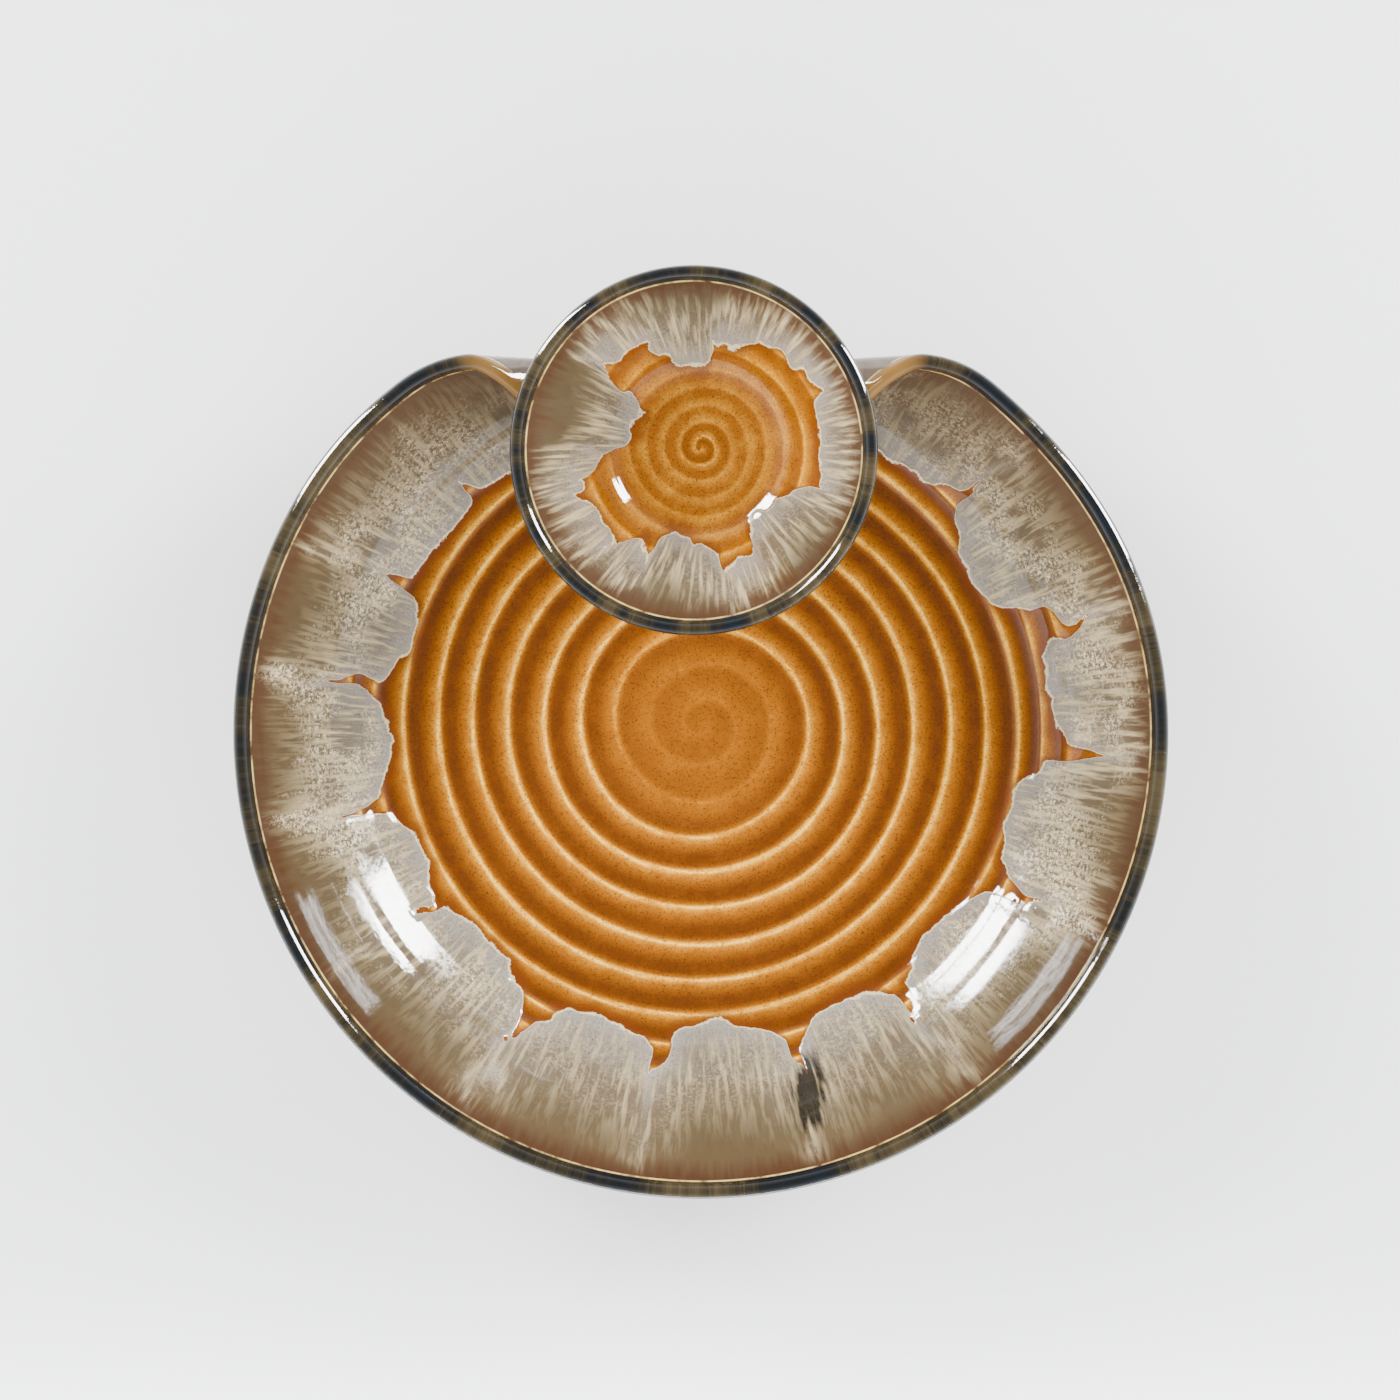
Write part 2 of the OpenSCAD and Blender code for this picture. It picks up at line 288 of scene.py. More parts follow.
def spin_section(section, steps):
    """Spins (r, z, reach, off, over) points, given from the floor's middle round to the foot's."""
    pot = bmesh.new()
    layers = [pot.verts.layers.float.new(name) for name in SHEET_NUMBERS]
    verts = []
    for r, z, *numbers in section:
        vert = pot.verts.new((r * MM, 0, z * MM))
        for layer, number in zip(layers, numbers):
            vert[layer] = number
        verts.append(vert)
    edges = [pot.edges.new(pair) for pair in zip(verts, verts[1:])]
    bmesh.ops.spin(pot, geom=verts + edges, cent=(0, 0, 0), axis=(0, 0, 1), dvec=(0, 0, 0),
                   angle=2 * math.pi, steps=steps, use_merge=True, use_normal_flip=False,
                   use_duplicate=False)
    bmesh.ops.remove_doubles(pot, verts=pot.verts, dist=1e-7)
    bmesh.ops.recalc_face_normals(pot, faces=pot.faces)
    return pot


def spaced(start, end, spacing):
    """Evenly spaced values from start up to, but not with, end."""
    count = max(1, round(abs(end - start) / spacing))
    return [start + (end - start) * i / count for i in range(count)]


def platter_section():
    """Section of the platter: up the inside, over the lip, down the outside, in over the foot."""
    inside = spaced(0, FLOOR_R, 1.15) + spaced(FLOOR_R, knee_end_r, 1.1)
    inside += spaced(knee_end_r, rim_r, 0.95)
    outside = spaced(rim_r, knee_end_r, 2.4) + spaced(knee_end_r, FLOOR_R, 3.2)
    section = []

    def on_sheet(reach, side):
        slope = math.atan2(thrown_height(reach) - thrown_height(reach - 0.01), 0.01)
        off = side * float(half_thickness(reach))
        z = float(thrown_height(reach)) + off * math.cos(slope)
        section.append((reach - off * math.sin(slope), z, reach, off, 0.0))

    for reach in inside:
        on_sheet(reach, 1)
    for turn in range(0, 181, 18):
        off = half_wall * math.cos(math.radians(turn))
        over = half_wall * math.sin(math.radians(turn))
        r = rim_r + over * math.cos(rim_slope) - off * math.sin(rim_slope)
        z = rim_z + over * math.sin(rim_slope) + off * math.cos(rim_slope)
        section.append((r, z, rim_r, off, over))
    for reach in outside[1:] + [FLOOR_R]:
        on_sheet(reach, -1)
    under = -FLOOR_T / 2
    foot = [(FOOT_OUT + 2.4, 0), (FOOT_OUT + 1.1, 0.5), (FOOT_OUT + 0.6, 1.6)]
    foot += [(FOOT_OUT, FOOT_H - 0.8), (FOOT_OUT - 1.0, FOOT_H), (FOOT_IN + 1.0, FOOT_H)]
    foot += [(FOOT_IN, FOOT_H - 0.8), (FOOT_IN - 0.8, 1.2), (FOOT_IN - 2.4, 0), (60, 0), (30, 0), (0, 0)]
    for r, drop in foot:
        section.append((r, FOOT_H - drop, r, under - drop, 0.0))
    return section


# %% [markdown]
# ## From spun mesh to finished piece
# The spun pot is round and smooth. Here its points get their ridges and their skin of glaze, and
# then the fold carries them to their place. What the glaze needs to know (place on the thrown pot,
# height on a ridge, distance from the grey glaze's edge, distance from the lip) is stored as
# attributes, because the fold would otherwise tear any pattern.

# %% Attributes and finishing


def make_piece(name, pot):
    mesh = bpy.data.meshes.new(name)
    pot.to_mesh(mesh)
    pot.free()
    piece = bpy.data.objects.new(name, mesh)
    bpy.context.scene.collection.objects.link(piece)
    mesh.shade_smooth()
    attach(piece, "root")
    return piece


def layer_values(mesh, name):
    values = np.zeros(len(mesh.vertices), np.float32)
    mesh.attributes[name].data.foreach_get("value", values)
    return values.astype(float)


def on_wheel(bearing, reach, height):
    """Places on the pot as it stood on the wheel, in mm, for bearings in degrees."""
    turn = np.radians(bearing)
    return np.stack([reach * np.cos(turn), reach * np.sin(turn), height], -1)


def places(mesh):
    co = np.zeros(len(mesh.vertices) * 3, np.float32)
    mesh.vertices.foreach_get("co", co)
    return co.reshape(-1, 3).astype(float) / MM


def set_places(mesh, co):
    mesh.vertices.foreach_set("co", (co * MM).astype(np.float32).ravel())
    mesh.update()


def store(mesh, **fields):
    """Keeps each field with the mesh as an attribute of its name, for the glaze to read."""
    for name, values in fields.items():
        kind, key = ("FLOAT_VECTOR", "vector") if values.ndim == 2 else ("FLOAT", "value")
        layer = mesh.attributes.new(name, kind, "POINT")
        layer.data.foreach_set(key, values.astype(np.float32).ravel())


# %% The platter
PLATTER_STEPS = 480
RIDGE = 0.8
GREY_COAT = 0.35
CROWDING = 16.0
PLATTER_SPIKE = 11.0
BARE_ABOVE_TABLE = 0.9

platter = make_piece("platter", spin_section(platter_section(), PLATTER_STEPS))
spun = places(platter.data)
reach, off, over = (layer_values(platter.data, name) for name in SHEET_NUMBERS)
# The steps of the spin crowd together a little behind the bowl, where the fold bends the sheet.
bearing = np.degrees(np.arctan2(spun[:, 1], spun[:, 0]))
bearing = (bearing + 90) % 360 - 90
bearing = bearing - CROWDING * np.sin(np.radians(bearing - 90))
inner = (off > 0).astype(float)
thrown = on_wheel(bearing, reach, thrown_height(reach))
x, y = thrown[:, 0], thrown[:, 1]
crest = ridge_height(bearing, reach, PLATTER_CRESTS, PLATTER_OFF_CENTRE, OFF_CENTRE_BEARING)
bent = 2.0 * wander(x, y, 9, 5)
meet = meeting_radius(bearing + bent, PLATTER_TONGUES, PLATTER_SPIKE)
ragged = 1.3 * wander(x, y, 7, 3) + 0.9 * wander(x, y, 3, 4)
grey = np.where(inner > 0, reach - meet + ragged, 40.0)
risen = ease((reach - 20) / 26)
strength = (0.22 + 0.78 * risen) * (1 - 0.75 * ease((reach - 128) / 20))
coat = ease(grey / 2.2) * (1 - ease((reach - rim_r + 5) / 5))
lift = RIDGE * strength * (crest - 0.4) * ease(reach / 6) * (1 - 0.6 * coat) + GREY_COAT * coat
set_places(platter.data, fold_sheet(bearing, reach, off + inner * lift, over))
from_rim = np.hypot(rim_r - reach, rim_z - thrown_height(reach))
beside_fold = ease((np.abs(x - FOLD_X) - SHELF_END) / SHELF_FADE)
foot_bottom = -FLOOR_T / 2 - FOOT_H
# The crest attribute also carries painted light: 0.14 * risen paints the amber darker at the centre and
# lighter out toward the wall, standing in for the low side light that the walls shade off the outer
# floor.
store(platter.data, thrown=thrown, grey=grey, inner=inner,
      crest=0.45 + 0.14 * risen + (crest - 0.55) * strength,
      drop=np.where(over > 1e-6, 0, from_rim),
      folded=(y > 0) * (1 - beside_fold),
      bare=(off < foot_bottom + BARE_ABOVE_TABLE).astype(float))
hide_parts("chip_platter")
print("platter:", len(platter.data.vertices), "vertices,", len(platter.data.polygons), "faces")

# %% [markdown]
# ## The dip bowl
# It is the same kind of pot at a smaller size, so the same steps make it. It leans with the seat
# that the shelf gives it.

# %% Section of the dip bowl, in its own frame with the foot on z = 0
BOWL_T = 4.6
BOWL_FOOT_H = 3.4
BOWL_FOOT_R = 22.0
BOWL_FOOT_IN = 16.0
BOWL_FLOOR_R = 20.0
BOWL_KNEE_R = 23.0
BOWL_KNEE_SLOPE = math.radians(44)
BOWL_H = 45.0
BOWL_D = 128.6
SLIP_T = 0.8
bowl_half = BOWL_T / 2
bowl_mid_z = BOWL_FOOT_H + bowl_half
bowl_rim = (BOWL_D / 2 - bowl_half, BOWL_H - bowl_half)
bowl_knee_end = (BOWL_FLOOR_R + BOWL_KNEE_R * math.sin(BOWL_KNEE_SLOPE),
                 bowl_mid_z + BOWL_KNEE_R * (1 - math.cos(BOWL_KNEE_SLOPE)))
bowl_run = bowl_rim[0] - bowl_knee_end[0]
bowl_rise = bowl_rim[1] - bowl_knee_end[1]
bowl_bend = (bowl_rise - bowl_run * math.tan(BOWL_KNEE_SLOPE)) / bowl_run ** 2


def bowl_line(reach):
    """Height and slope of the bowl's middle line at this distance from its axis."""
    if reach <= bowl_knee_end[0]:
        slope = math.asin(max(0.0, reach - BOWL_FLOOR_R) / BOWL_KNEE_R)
        return bowl_mid_z + BOWL_KNEE_R * (1 - math.cos(slope)), slope
    past = reach - bowl_knee_end[0]
    height = bowl_knee_end[1] + past * math.tan(BOWL_KNEE_SLOPE) + bowl_bend * past ** 2
    return height, math.atan(math.tan(BOWL_KNEE_SLOPE) + 2 * bowl_bend * past)


bowl_rim_slope = bowl_line(bowl_rim[0])[1]


def bowl_section():
    section = []

    def off_line(reach, off, over=0.0):
        z, slope = bowl_line(reach)
        section.append((reach - off * math.sin(slope) + over * math.cos(slope),
                        z + off * math.cos(slope) + over * math.sin(slope), reach, off, over))

    inside = spaced(0, BOWL_FLOOR_R, 0.8) + spaced(BOWL_FLOOR_R, bowl_rim[0], 0.6)
    for reach in inside:
        off_line(reach, bowl_half)
    for turn in range(0, 181, 18):
        off_line(bowl_rim[0], bowl_half * math.cos(math.radians(turn)),
                 bowl_half * math.sin(math.radians(turn)))
    foot_share = (BOWL_FOOT_R + 0.6 - BOWL_FLOOR_R) / (BOWL_KNEE_R + bowl_half)
    foot_meets = BOWL_FLOOR_R + BOWL_KNEE_R * foot_share
    outside = spaced(bowl_rim[0], foot_meets, 1.3)
    for reach in outside[1:] + [foot_meets]:
        off_line(reach, -bowl_half)
    foot = [(BOWL_FOOT_R, 2.4), (BOWL_FOOT_R, 0.6), (BOWL_FOOT_R - 0.6, 0), (BOWL_FOOT_IN + 0.6, 0)]
    foot += [(BOWL_FOOT_IN, 0.6), (BOWL_FOOT_IN - 1, BOWL_FOOT_H), (0, BOWL_FOOT_H)]
    for r, z in foot:
        section.append((r, z, r, z - bowl_mid_z, 0.0))
    return section


# %% The dip bowl on its seat
BOWL_STEPS = 288
BOWL_RIDGE = 0.5
BOWL_GREY_COAT = 0.3
BOWL_SPIKE = 2.0
BOWL_BARE_UP_TO = 0.7

bowl = make_piece("dip_bowl_glazed", spin_section(bowl_section(), BOWL_STEPS))
spun = places(bowl.data)
reach, off, over = (layer_values(bowl.data, name) for name in SHEET_NUMBERS)
bearing = np.degrees(np.arctan2(spun[:, 1], spun[:, 0])) % 360
inner = (off > 0).astype(float)
line_at = np.linspace(0, bowl_rim[0], 200)
heights, slopes = np.array([bowl_line(r) for r in line_at]).T
slope = np.interp(reach, line_at, slopes)
thrown = on_wheel(bearing, reach, np.interp(reach, line_at, heights))
x, y = thrown[:, 0], thrown[:, 1]
crest = ridge_height(bearing, reach, BOWL_CRESTS, BOWL_OFF_CENTRE, OFF_CENTRE_BEARING)
bent = 5 * wander(x, y, 6, 6)
meet = meeting_radius(bearing + bent, BOWL_TONGUES, BOWL_SPIKE)
ragged = 1.9 * wander(x, y, 5, 7) + 0.9 * wander(x, y, 2.4, 8)
grey = np.where(inner > 0, reach - meet + ragged, 30.0)
strength = 0.22 + 0.4 * bell(reach, 4, 4) + 0.25 * ease((reach - 30) / 10)
coat = ease(grey / 1.6) * (1 - ease((reach - bowl_rim[0] + 4) / 4))
ridges = BOWL_RIDGE * strength * (crest - 0.4) * ease(reach / 4) * (1 - coat)
lift = inner * (ridges + BOWL_GREY_COAT * coat)
spun -= on_wheel(bearing, lift * np.sin(slope), -lift * np.cos(slope))
set_places(bowl.data, spun)
from_rim = np.hypot(bowl_rim[0] - reach, bowl_rim[1] - thrown[:, 2])
# The crest attribute here starts higher (0.69), so the bowl's amber is painted lighter, standing in for
# the light that the bowl's own walls shade off its floor.
store(bowl.data, thrown=thrown, grey=grey, inner=inner,
      crest=0.69 + 0.8 * (crest - 0.55) * strength,
      drop=np.where(over > 1e-6, 0, from_rim),
      folded=0 * reach,
      bare=(off < BOWL_BARE_UP_TO - bowl_mid_z).astype(float))
seat = (Matrix.Translation(Vector((SEAT_X, SEAT_Y, seat_z)) * MM)
        @ Matrix.Rotation(-LEAN_LEFT, 4, "Y") @ Matrix.Rotation(LEAN_FRONT, 4, "X"))
bowl.data.transform(seat @ Matrix.Translation((0, 0, SLIP_T * MM)))
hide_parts("dip_bowl")
print("dip bowl:", len(bowl.data.vertices), "vertices,", len(bowl.data.polygons), "faces")

# %% [markdown]
# ## The luting seam
# Scored and slipped clay squeezes out round the bowl's foot and is smoothed with a finger. It
# runs only where the shelf is under it, and it thins out toward both ends.

# %% A bead of clay round the back of the foot
BEAD_W = 3.2
BEAD_H = 3.6
BEAD_STEPS = 96
END_THINNING = 0.5
smoothed_from = BOWL_FOOT_R + 0.3
shelf_edge = fold_y - SHELF_RUN * (rim_z - SHELF_Z)
seam_front = shelf_edge + 1.0 - SEAT_Y
front_angle = math.asin(seam_front / (BOWL_FOOT_R + BEAD_W))
seam_bm = bmesh.new()
bead = [(BOWL_FOOT_IN + 0.3, 0.02), (BOWL_FOOT_R + BEAD_W, 0.02), (BOWL_FOOT_R + BEAD_W - 0.1, 0.7)]
bead += [(BOWL_FOOT_R + 2.4, 1.5), (BOWL_FOOT_R + 1.4, 2.3), (BOWL_FOOT_R + 0.5, 3.1)]
bead += [(BOWL_FOOT_R + 0.05, BEAD_H), (BOWL_FOOT_R + 0.02, SLIP_T), (BOWL_FOOT_IN + 0.3, SLIP_T)]
section_face = seam_bm.faces.new([seam_bm.verts.new((r * MM, 0, z * MM)) for r, z in bead])
bmesh.ops.rotate(seam_bm, verts=seam_bm.verts, cent=(0, 0, 0),
                 matrix=Matrix.Rotation(front_angle, 3, "Z"))
bmesh.ops.spin(seam_bm, geom=[section_face] + section_face.verts[:] + section_face.edges[:],
               cent=(0, 0, 0), axis=(0, 0, 1), dvec=(0, 0, 0), angle=math.pi - 2 * front_angle,
               steps=BEAD_STEPS, use_duplicate=False)
for vert in seam_bm.verts:
    r = math.hypot(vert.co.x, vert.co.y) / MM
    angle = math.atan2(vert.co.y, vert.co.x)
    if r > smoothed_from:
        from_back = abs((angle + math.pi / 2) % (2 * math.pi) - math.pi)
        along = (math.pi / 2 - from_back - front_angle) / END_THINNING
        fullness = 0.35 + 0.65 * min(1.0, max(0.0, along))
        lumps = 0.86 + 0.07 * math.sin(9 * angle) + 0.05 * math.sin(17 * angle + 1)
        kept = smoothed_from + (r - smoothed_from) * lumps * fullness
        vert.co.x *= kept / r
        vert.co.y *= kept / r
bmesh.ops.recalc_face_normals(seam_bm, faces=seam_bm.faces)
seam = make_piece("luting_bead", seam_bm)
seam.data.transform(seat)
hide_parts("luting_seam")
print("seam:", len(seam.data.polygons), "faces")

# %% [markdown]
# ## Two helpers for materials
# Colours are given as sRGB hex, as a colour picker shows them, and changed into the linear values
# that shaders work with. One helper adds any kind of node with its settings and links.

# %% Colour and node helpers


def linear(hex_colour):
    """sRGB hex to the linear colour that shaders use."""
    channels = [int(hex_colour[i:i + 2], 16) / 255 for i in (1, 3, 5)]
    return [c / 12.92 if c <= 0.04045 else ((c + 0.055) / 1.055) ** 2.4 for c in channels] + [1.0]


def add(tree, kind, inputs=(), out=0, ramp=(), **settings):
    """Adds one node with its settings and links, and returns one of its outputs."""
    made = tree.nodes.new("ShaderNode" + kind)
    for name, value in settings.items():
        setattr(made, name, value)
    for key, value in dict(inputs).items():
        if isinstance(value, bpy.types.NodeSocket):
            tree.links.new(value, made.inputs[key])
        else:
            made.inputs[key].default_value = linear(value) if isinstance(value, str) else value
    for i, (at, colour) in enumerate(ramp):
        stop = made.color_ramp.elements[i] if i < 2 else made.color_ramp.elements.new(at)
        stop.position = at
        stop.color = linear(colour)
    return made.outputs[out]


def start_material(name, roughness):
    material = bpy.data.materials.new(name)
    material.use_nodes = True
    shader = material.node_tree.nodes["Principled BSDF"]
    shader.inputs["Roughness"].default_value = roughness
    shader.inputs["IOR"].default_value = 1.5
    return material, material.node_tree, shader


# %% [markdown]
# ## Amber iron glaze under running grey glaze
# - Amber glaze is clear and brown. It runs off a crest, so the pale clay shows there, and it
#   pools dark in a valley. Iron specks from the stoneware body come through it.
# - Grey glaze is milky and lavender where it is thick, near the ends of its tongues, with cream
#   crystals in it. Higher up it thins to taupe with cream streaks, and to brown at the rim.
# - Both meet in a thin cream line, and the amber is burnt to rust beside it.
# - On the sharp lip the glazes nearly run off, and what stays is blue-black, olive and khaki.

# %% What the glaze reads at each point
GLAZE_ROUGHNESS = 0.035
BARE_ROUGHNESS = 0.8


def glaze_fields(tree, streak_count):
    """The stored attributes, and noise at the sizes that the glaze shows."""
    field = SimpleNamespace()
    thrown = add(tree, "Attribute", attribute_name="thrown", out=1)
    field.thrown = thrown
    for name in ("crest", "grey", "inner", "drop", "folded", "bare"):
        setattr(field, name, add(tree, "Attribute", attribute_name=name, out=2))

    # Patches of 20 mm, clouds of 8 mm, grain of 1 mm and iron specks of half a millimetre.
    field.patches = add(tree, "TexNoise", {"Vector": thrown, "Scale": 0.05, "Detail": 3})
    field.clouds = add(tree, "TexNoise", {"Vector": thrown, "Scale": 0.12, "Detail": 5, "Roughness": 0.6})
    field.grain = add(tree, "TexNoise", {"Vector": thrown, "Scale": 0.9, "Detail": 4, "Roughness": 0.6})
    field.iron = add(tree, "TexNoise", {"Vector": thrown, "Scale": 1.8, "Detail": 1})

    # Streaks run down the wall, and are about 2 mm wide and 11 mm long.
    flat = add(tree, "VectorMath", {0: thrown, 1: (1, 1, 0)}, operation="MULTIPLY")
    radius = add(tree, "VectorMath", {0: flat}, out=1, operation="LENGTH")
    way = add(tree, "VectorMath", {0: flat}, operation="NORMALIZE")
    wide = add(tree, "VectorMath", {0: way, 1: streak_count}, operation="MULTIPLY")
    run = add(tree, "Math", {0: radius, 1: 0.09}, operation="MULTIPLY")
    long = add(tree, "CombineXYZ", {2: run})
    streak_at = add(tree, "VectorMath", {0: wide, 1: long}, operation="ADD")
    field.streak = add(tree, "TexNoise",
                       {"Vector": streak_at, "Scale": 1.0, "Detail": 3, "Roughness": 0.5})
    round_at = add(tree, "VectorMath", {0: way, 1: (3.2, 3.2, 0)}, operation="MULTIPLY")
    field.rim_spots = add(tree, "TexNoise", {"Vector": round_at, "Scale": 1.0, "Detail": 2})

    # Distance past the grey glaze's edge, frayed by the grain.
    fray = add(tree, "Math", {0: field.grain, 1: 2.2, 2: -1.1}, operation="MULTIPLY_ADD")
    field.edge = add(tree, "Math", {0: field.grey, 1: fray}, operation="ADD")
    return field


# %% Amber, by its thickness on the ridges, with iron specks and rust beside the grey


def amber_glaze(tree, field):
    # field.crest also carries painted light: the amber is painted lighter out toward the platter's wall
    # and all over the bowl, standing in for side light that the walls shade off.
    thick = add(tree, "Math", {0: field.clouds, 1: 0.4, 2: -0.2}, operation="MULTIPLY_ADD")
    thin = add(tree, "Math", {0: field.crest, 1: thick}, operation="ADD")
    thin = add(tree, "Math", {0: field.grain, 1: 0.3, 2: thin}, operation="MULTIPLY_ADD")
    thin = add(tree, "Math", {0: thin, 1: 0.15}, operation="SUBTRACT")
    amber = add(tree, "ValToRGB", {0: thin}, ramp=[
        (0.0, "#5C2E08"), (1.0, "#FFC450"), (0.2, "#723D08"),
        (0.42, "#844A04"), (0.6, "#985806"), (0.8, "#CC8818")])
    specks = add(tree, "MapRange", {0: field.iron, 1: 0.56, 2: 0.66, 4: 0.7})
    amber = add(tree, "Mix", {0: specks, 6: amber, 7: "#3C220E"}, out=2, data_type="RGBA")
    burnt = add(tree, "MapRange", {0: field.edge, 1: -5.0, 2: -0.5, 4: 0.75})
    return add(tree, "Mix", {0: burnt, 6: amber, 7: "#68300E"}, out=2, data_type="RGBA")


# %% Grey, with cream crystals, dark pits, cream runs, a brown top, a painted dark reflection at the back and a scar


def measure_grey(tree, field, fade):
    """Adds how far up the grey glaze a point lies, and where its growths may show."""
    sway = add(tree, "Math", {0: field.streak, 1: 0.5 / fade, 2: -0.25 / fade}, operation="MULTIPLY_ADD")
    depth = add(tree, "Math", {0: field.edge, 1: sway}, operation="ADD")
    field.depth = add(tree, "Math", {0: depth, 1: fade}, operation="MULTIPLY")
    field.past_edge = add(tree, "MapRange", {0: field.depth, 1: 0.03, 2: 0.16})
    field.lower_part = add(tree, "MapRange", {0: field.depth, 1: 0.75, 2: 0.45})
    field.back = add(tree, "SeparateXYZ", {0: field.thrown}, out=1)
    field.grown = add(tree, "MapRange", {0: field.back, 1: -116.0, 2: -72.0, 3: 0.2, 4: 1.0})


def crystal_cover(tree, field, crystal_share):
    curds = add(tree, "TexNoise", {"Vector": field.thrown, "Scale": 0.7, "Detail": 7, "Roughness": 0.8})
    crystals = add(tree, "MapRange", {0: curds, 1: 0.48, 2: 0.57, 4: crystal_share})
    cloudy = add(tree, "MapRange", {0: field.patches, 1: 0.39, 2: 0.56})
    for limit in (cloudy, field.past_edge, field.lower_part, field.grown):
        crystals = add(tree, "Math", {0: crystals, 1: limit}, operation="MULTIPLY")
    return crystals


def run_cover(tree, field):
    runs = add(tree, "MapRange", {0: field.streak, 1: 0.47, 2: 0.68, 4: 0.8})
    upper = add(tree, "MapRange", {0: field.depth, 1: 0.95, 2: 0.55})
    thinned = add(tree, "Math", {0: field.grown, 1: 0.45, 2: 0.55}, operation="MULTIPLY_ADD")
    for limit in (field.past_edge, upper, thinned):
        runs = add(tree, "Math", {0: runs, 1: limit}, operation="MULTIPLY")
    return runs


def scar_cover(tree, field, scar_at):
    away = add(tree, "VectorMath", {0: field.thrown, 1: scar_at}, operation="SUBTRACT")
    away = add(tree, "VectorMath", {0: away, 1: (0.15, 0.075, 0)}, operation="MULTIPLY")
    away = add(tree, "VectorMath", {0: away}, out=1, operation="LENGTH")
    away = add(tree, "Math", {0: field.streak, 1: 1.4, 2: away}, operation="MULTIPLY_ADD")
    return add(tree, "MapRange", {0: away, 1: 1.8, 2: 1.4, 4: 0.94})


def grey_glaze(tree, field, crystals, scar_at):
    milk = add(tree, "ValToRGB", {0: field.depth}, ramp=[
        (0.02, "#90887F"), (0.95, "#493D2B"), (0.14, "#7C7266"), (0.36, "#615645"), (0.68, "#524633")])
    pits = add(tree, "MapRange", {0: field.iron, 1: 0.6, 2: 0.66, 4: 0.7})
    pits = add(tree, "Math", {0: pits, 1: field.lower_part}, operation="MULTIPLY")
    high = add(tree, "Math", {0: field.streak, 1: 16.0, 2: field.drop}, operation="MULTIPLY_ADD")
    scorched = add(tree, "MapRange", {0: high, 1: 21.0, 2: 12.0, 4: 0.9})
    # Painted dark reflection: the grey glaze is painted darker toward the back lobes, standing in for the
    # dark room that mirrors in their walls.
    painted_dark_reflection_at_back = add(tree, "MapRange", {0: field.back, 1: 64.0, 2: 118.0, 4: 0.75})
    off_line = add(tree, "Math", {0: field.edge, 1: 0.45}, operation="SUBTRACT")
    off_line = add(tree, "Math", {0: off_line}, operation="ABSOLUTE")
    on_line = add(tree, "MapRange", {0: off_line, 1: 0.6, 2: 0.2, 4: 0.8})
    layers = [(crystals, "#E2CFA8"), (pits, "#4E4236"), (run_cover(tree, field), "#C4B28A")]
    layers += [(scorched, "#40291B"), (painted_dark_reflection_at_back, "#3E3328"), (on_line, "#E0D0A0")]
    layers += [(scar_cover(tree, field, scar_at), "#1C1A16")]
    for cover, colour in layers:
        milk = add(tree, "Mix", {0: cover, 6: milk, 7: colour}, out=2, data_type="RGBA")
    return milk


# %% The outside, and the lip with the pale line where the glaze breaks just inside it


def outer_glaze(tree, field):
    """Grey-brown near the rim and amber brown lower down."""
    low = add(tree, "Math", {0: field.streak, 1: 40.0, 2: field.drop}, operation="MULTIPLY_ADD")
    low = add(tree, "Math", {0: low, 1: 0.0125}, operation="MULTIPLY")
    return add(tree, "ValToRGB", {0: low}, ramp=[
        (0.25, "#5A4C40"), (1.0, "#6A3C10"), (0.45, "#4B3F2E"), (0.7, "#583414")])


def break_cover(tree, field):
    off_line = add(tree, "Math", {0: field.drop, 1: 2.3}, operation="SUBTRACT")
    off_line = add(tree, "Math", {0: off_line}, operation="ABSOLUTE")
    break_line = add(tree, "MapRange", {0: off_line, 1: 0.55, 2: 0.1})
    broken = add(tree, "MapRange", {0: field.clouds, 1: 0.38, 2: 0.55, 4: 0.9})
    return add(tree, "Math", {0: break_line, 1: broken}, operation="MULTIPLY")


def lip_glaze(tree, field):
    spots = add(tree, "Math", {0: field.clouds, 1: 0.5, 2: field.rim_spots}, operation="MULTIPLY_ADD")
    spots = add(tree, "Math", {0: field.grain, 1: 0.3, 2: spots}, operation="MULTIPLY_ADD")
    spots = add(tree, "Math", {0: spots, 1: 0.4}, operation="SUBTRACT")
    lip = add(tree, "ValToRGB", {0: spots}, ramp=[
        (0.3, "#10151A"), (0.82, "#2A2216"), (0.42, "#121314"), (0.54, "#2A2417"), (0.66, "#3E3523")])
    return add(tree, "Mix", {0: field.folded, 6: lip, 7: "#7E5C2C"}, out=2, data_type="RGBA")


# %% The glaze of both pots


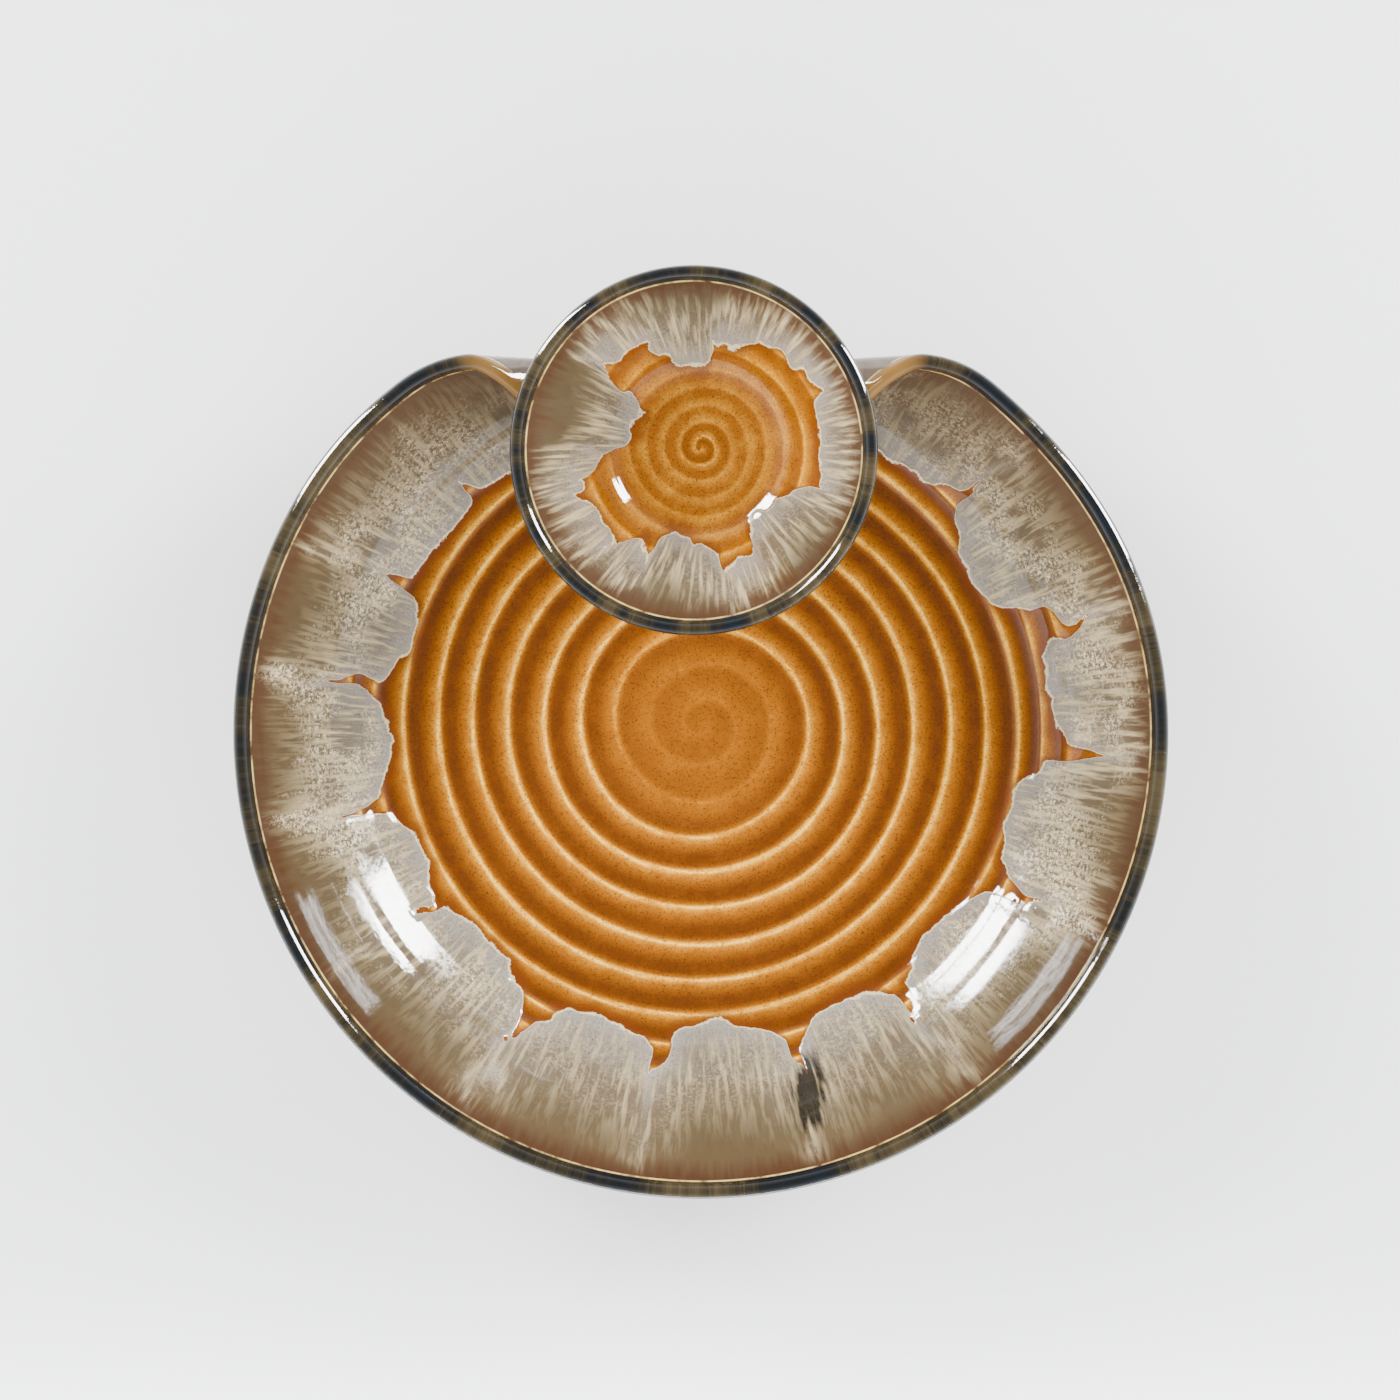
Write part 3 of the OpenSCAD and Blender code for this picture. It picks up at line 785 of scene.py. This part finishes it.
def pot_glaze(name, streak_count, fade, scar_at, crystal_share):
    material, tree, shader = start_material(name, GLAZE_ROUGHNESS)
    field = glaze_fields(tree, streak_count)
    measure_grey(tree, field, fade)
    crystals = crystal_cover(tree, field, crystal_share)
    in_grey = add(tree, "MapRange", {0: field.edge, 1: 0.0, 2: 0.25})
    on_lip = add(tree, "MapRange", {0: field.drop, 1: 2.0, 2: 1.5})
    colour = amber_glaze(tree, field)
    milk = grey_glaze(tree, field, crystals, scar_at)
    colour = add(tree, "Mix", {0: in_grey, 6: colour, 7: milk}, out=2, data_type="RGBA")
    coat = outer_glaze(tree, field)
    colour = add(tree, "Mix", {0: field.inner, 6: coat, 7: colour}, out=2, data_type="RGBA")
    over_both = [(break_cover(tree, field), "#D0B878"), (on_lip, lip_glaze(tree, field))]
    over_both += [(field.bare, "#A88858")]
    for cover, upper in over_both:
        colour = add(tree, "Mix", {0: cover, 6: colour, 7: upper}, out=2, data_type="RGBA")
    tree.links.new(colour, shader.inputs["Base Color"])
    rough = add(tree, "MapRange", {0: field.bare, 3: GLAZE_ROUGHNESS, 4: BARE_ROUGHNESS})
    tree.links.new(rough, shader.inputs["Roughness"])

    # Glossy glaze is never quite flat, and grey glaze stands up at its edge.
    step = add(tree, "MapRange", {0: field.edge, 1: -0.5, 2: 1.8, 4: 0.5})
    relief = add(tree, "Math", {0: field.clouds, 1: 0.5, 2: step}, operation="MULTIPLY_ADD")
    relief = add(tree, "Math", {0: crystals, 1: 0.05, 2: relief}, operation="MULTIPLY_ADD")
    bump = add(tree, "Bump", {"Height": relief, "Distance": 0.00025, "Strength": 0.6})
    tree.links.new(bump, shader.inputs["Normal"])
    return material


# The platter has one dark scar at its front. The bowl has none, so its place is far outside it.
SCAR_PLACE = (39.5, -133.0, 0)
NO_SCAR = (400.0, 0, 0)
platter_glaze = pot_glaze("amber_and_grey_dipped_glaze", (75, 75, 0), 0.021, SCAR_PLACE, 1.0)
bowl_glaze = pot_glaze("amber_and_grey_bowl_glaze", (30, 30, 0), 0.036, NO_SCAR, 0.15)
platter.data.materials.append(platter_glaze)
bowl.data.materials.append(bowl_glaze)
clay, clay_tree, clay_shader = start_material("glazed_slip_clay", 0.12)
clay_shader.inputs["Base Color"].default_value = linear("#6B4A2A")
seam.data.materials.append(clay)

# %% [markdown]
# ## Table, light and camera
# A pale plain table, a bright room that is dim overhead, and two tall soft boxes low at the back.
# Each soft box lights the clay softly, and its own narrow bright core is what mirrors in the glaze.
# A weak fill hangs overhead, another stands in front, and a long lamp close above the table
# brightens it in front of the pot.

# %% Pale table
TABLE_HALF = 4
table_bm = bmesh.new()
bmesh.ops.create_grid(table_bm, x_segments=1, y_segments=1, size=TABLE_HALF)
table_mesh = bpy.data.meshes.new("table")
table_bm.to_mesh(table_mesh)
table_bm.free()
table = bpy.data.objects.new("table", table_mesh)
bpy.context.scene.collection.objects.link(table)
paint, paint_tree, paint_shader = start_material("pale_table_paint", 0.9)
paint_shader.inputs["Base Color"].default_value = linear("#F2F4F4")
table_mesh.materials.append(paint)

# %% Room light
world = bpy.data.worlds.new("studio")
bpy.context.scene.world = world
world.use_nodes = True
room = world.node_tree
sky = add(room, "TexCoord")
height = add(room, "SeparateXYZ", {0: sky}, out=2)
back = add(room, "SeparateXYZ", {0: sky}, out=1)
overhead = add(room, "MapRange", {0: height, 1: 0.92, 2: 0.25, 3: 0.22, 4: 1.85})
front_gain = add(room, "MapRange", {0: back, 1: 0.3, 2: -0.5, 3: 0.75, 4: 1.35})
glow = add(room, "Math", {0: overhead, 1: front_gain}, operation="MULTIPLY")
background = room.nodes["Background"]
background.inputs[0].default_value = linear("#FBFDFF")
room.links.new(glow, background.inputs[1])


LAMP_DISTANCE = 1.6
WASH_PLACE = Vector((0, -0.56, 0.5))


def lamp_down(name, size, power, mirrored):
    """A lamp facing down, which either lights the clay or mirrors in the glaze."""
    light = bpy.data.lights.new(name, "AREA")
    light.shape = "RECTANGLE"
    light.size, light.size_y = size
    light.energy = power
    lamp = bpy.data.objects.new(name, light)
    lamp.visible_diffuse = not mirrored
    lamp.visible_glossy = mirrored
    bpy.context.scene.collection.objects.link(lamp)
    return lamp


def soft_box(name, azimuth, elevation, size, power, mirrored):
    """A lamp on a sphere round the pot, facing its middle."""
    lamp = lamp_down(name, size, power, mirrored)
    a, e = math.radians(azimuth), math.radians(elevation)
    way = Vector((math.cos(a) * math.cos(e), math.sin(a) * math.cos(e), math.sin(e)))
    lamp.location = way * LAMP_DISTANCE
    lamp.rotation_euler = (-way).to_track_quat("-Z", "Y").to_euler()


for side, azimuth in (("right", 31), ("left", 142)):
    soft_box("soft_box_" + side, azimuth, 24, (0.7, 0.9), 62, False)
    soft_box("soft_box_core_" + side, azimuth, 21, (0.42, 1.0), 240, True)
soft_box("ceiling_fill", 270, 84, (1.6, 1.6), 14, False)
soft_box("front_fill", 270, 30, (2.2, 0.9), 48, False)
wash = lamp_down("table_wash", (2.4, 0.3), 52, False)
wash.location = WASH_PLACE
wash.data.spread = math.radians(60)

# %% Camera above the platter
CAMERA_ABOVE_RIM = 1400
camera_data = bpy.data.cameras.new("camera")
camera_data.lens = 102
camera_data.sensor_width = 36
camera = bpy.data.objects.new("camera", camera_data)
camera.location = Vector((-0.35, 11, platter_high.z + CAMERA_ABOVE_RIM)) * MM
bpy.context.scene.collection.objects.link(camera)
bpy.context.scene.camera = camera
